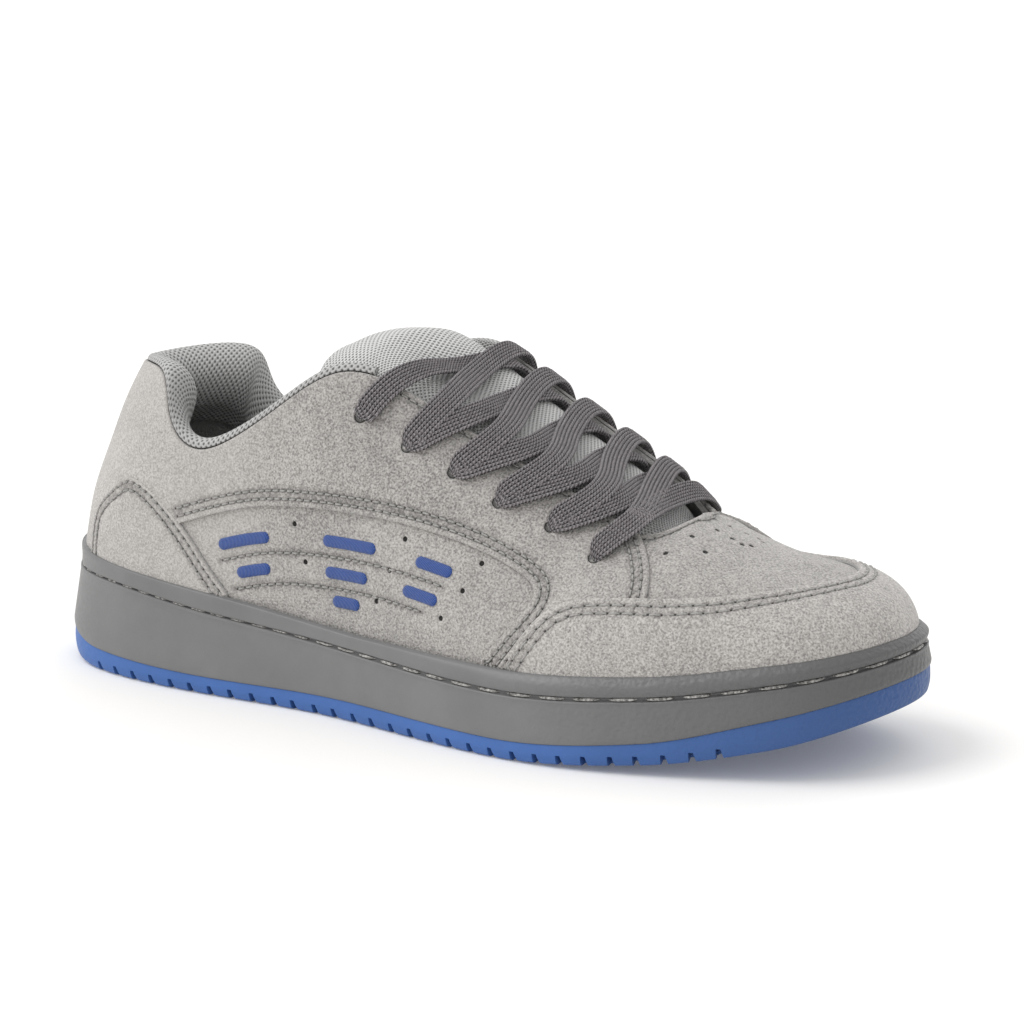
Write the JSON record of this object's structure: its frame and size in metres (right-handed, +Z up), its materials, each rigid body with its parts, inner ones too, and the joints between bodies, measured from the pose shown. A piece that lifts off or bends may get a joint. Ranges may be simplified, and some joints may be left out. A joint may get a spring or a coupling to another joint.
{
  "type": "sneaker",
  "caption": "Low suede sneaker for the right foot with a rubber cupsole, notched outsole, padded mesh collar and tongue, side windows and flat laces.",
  "frame": {"origin": "middle of the sole's box, on the floor", "axes": "+X from heel to toe, +Y to the inner side of the foot, +Z up"},
  "size_m": [0.3, 0.1098, 0.1176],
  "materials": {
    "sole_rubber": "blue moulded rubber",
    "cup_rubber": "grey moulded rubber",
    "footbed": "cloth over foam",
    "suede": "light grey suede with a short nap",
    "mesh": "grey padded mesh",
    "lace": "dark grey flat weave"
  },
  "bodies": {
    "root": {"outsole": "sole_rubber", "cupsole": "cup_rubber", "insole": "footbed", "upper": "suede", "toe_guard": "suede", "quarter": "suede", "heel_fin_lateral": "suede", "heel_fin_medial": "suede", "collar_lining": "mesh", "tongue": "mesh", "laces": "lace"}
  },
  "joints": []
}
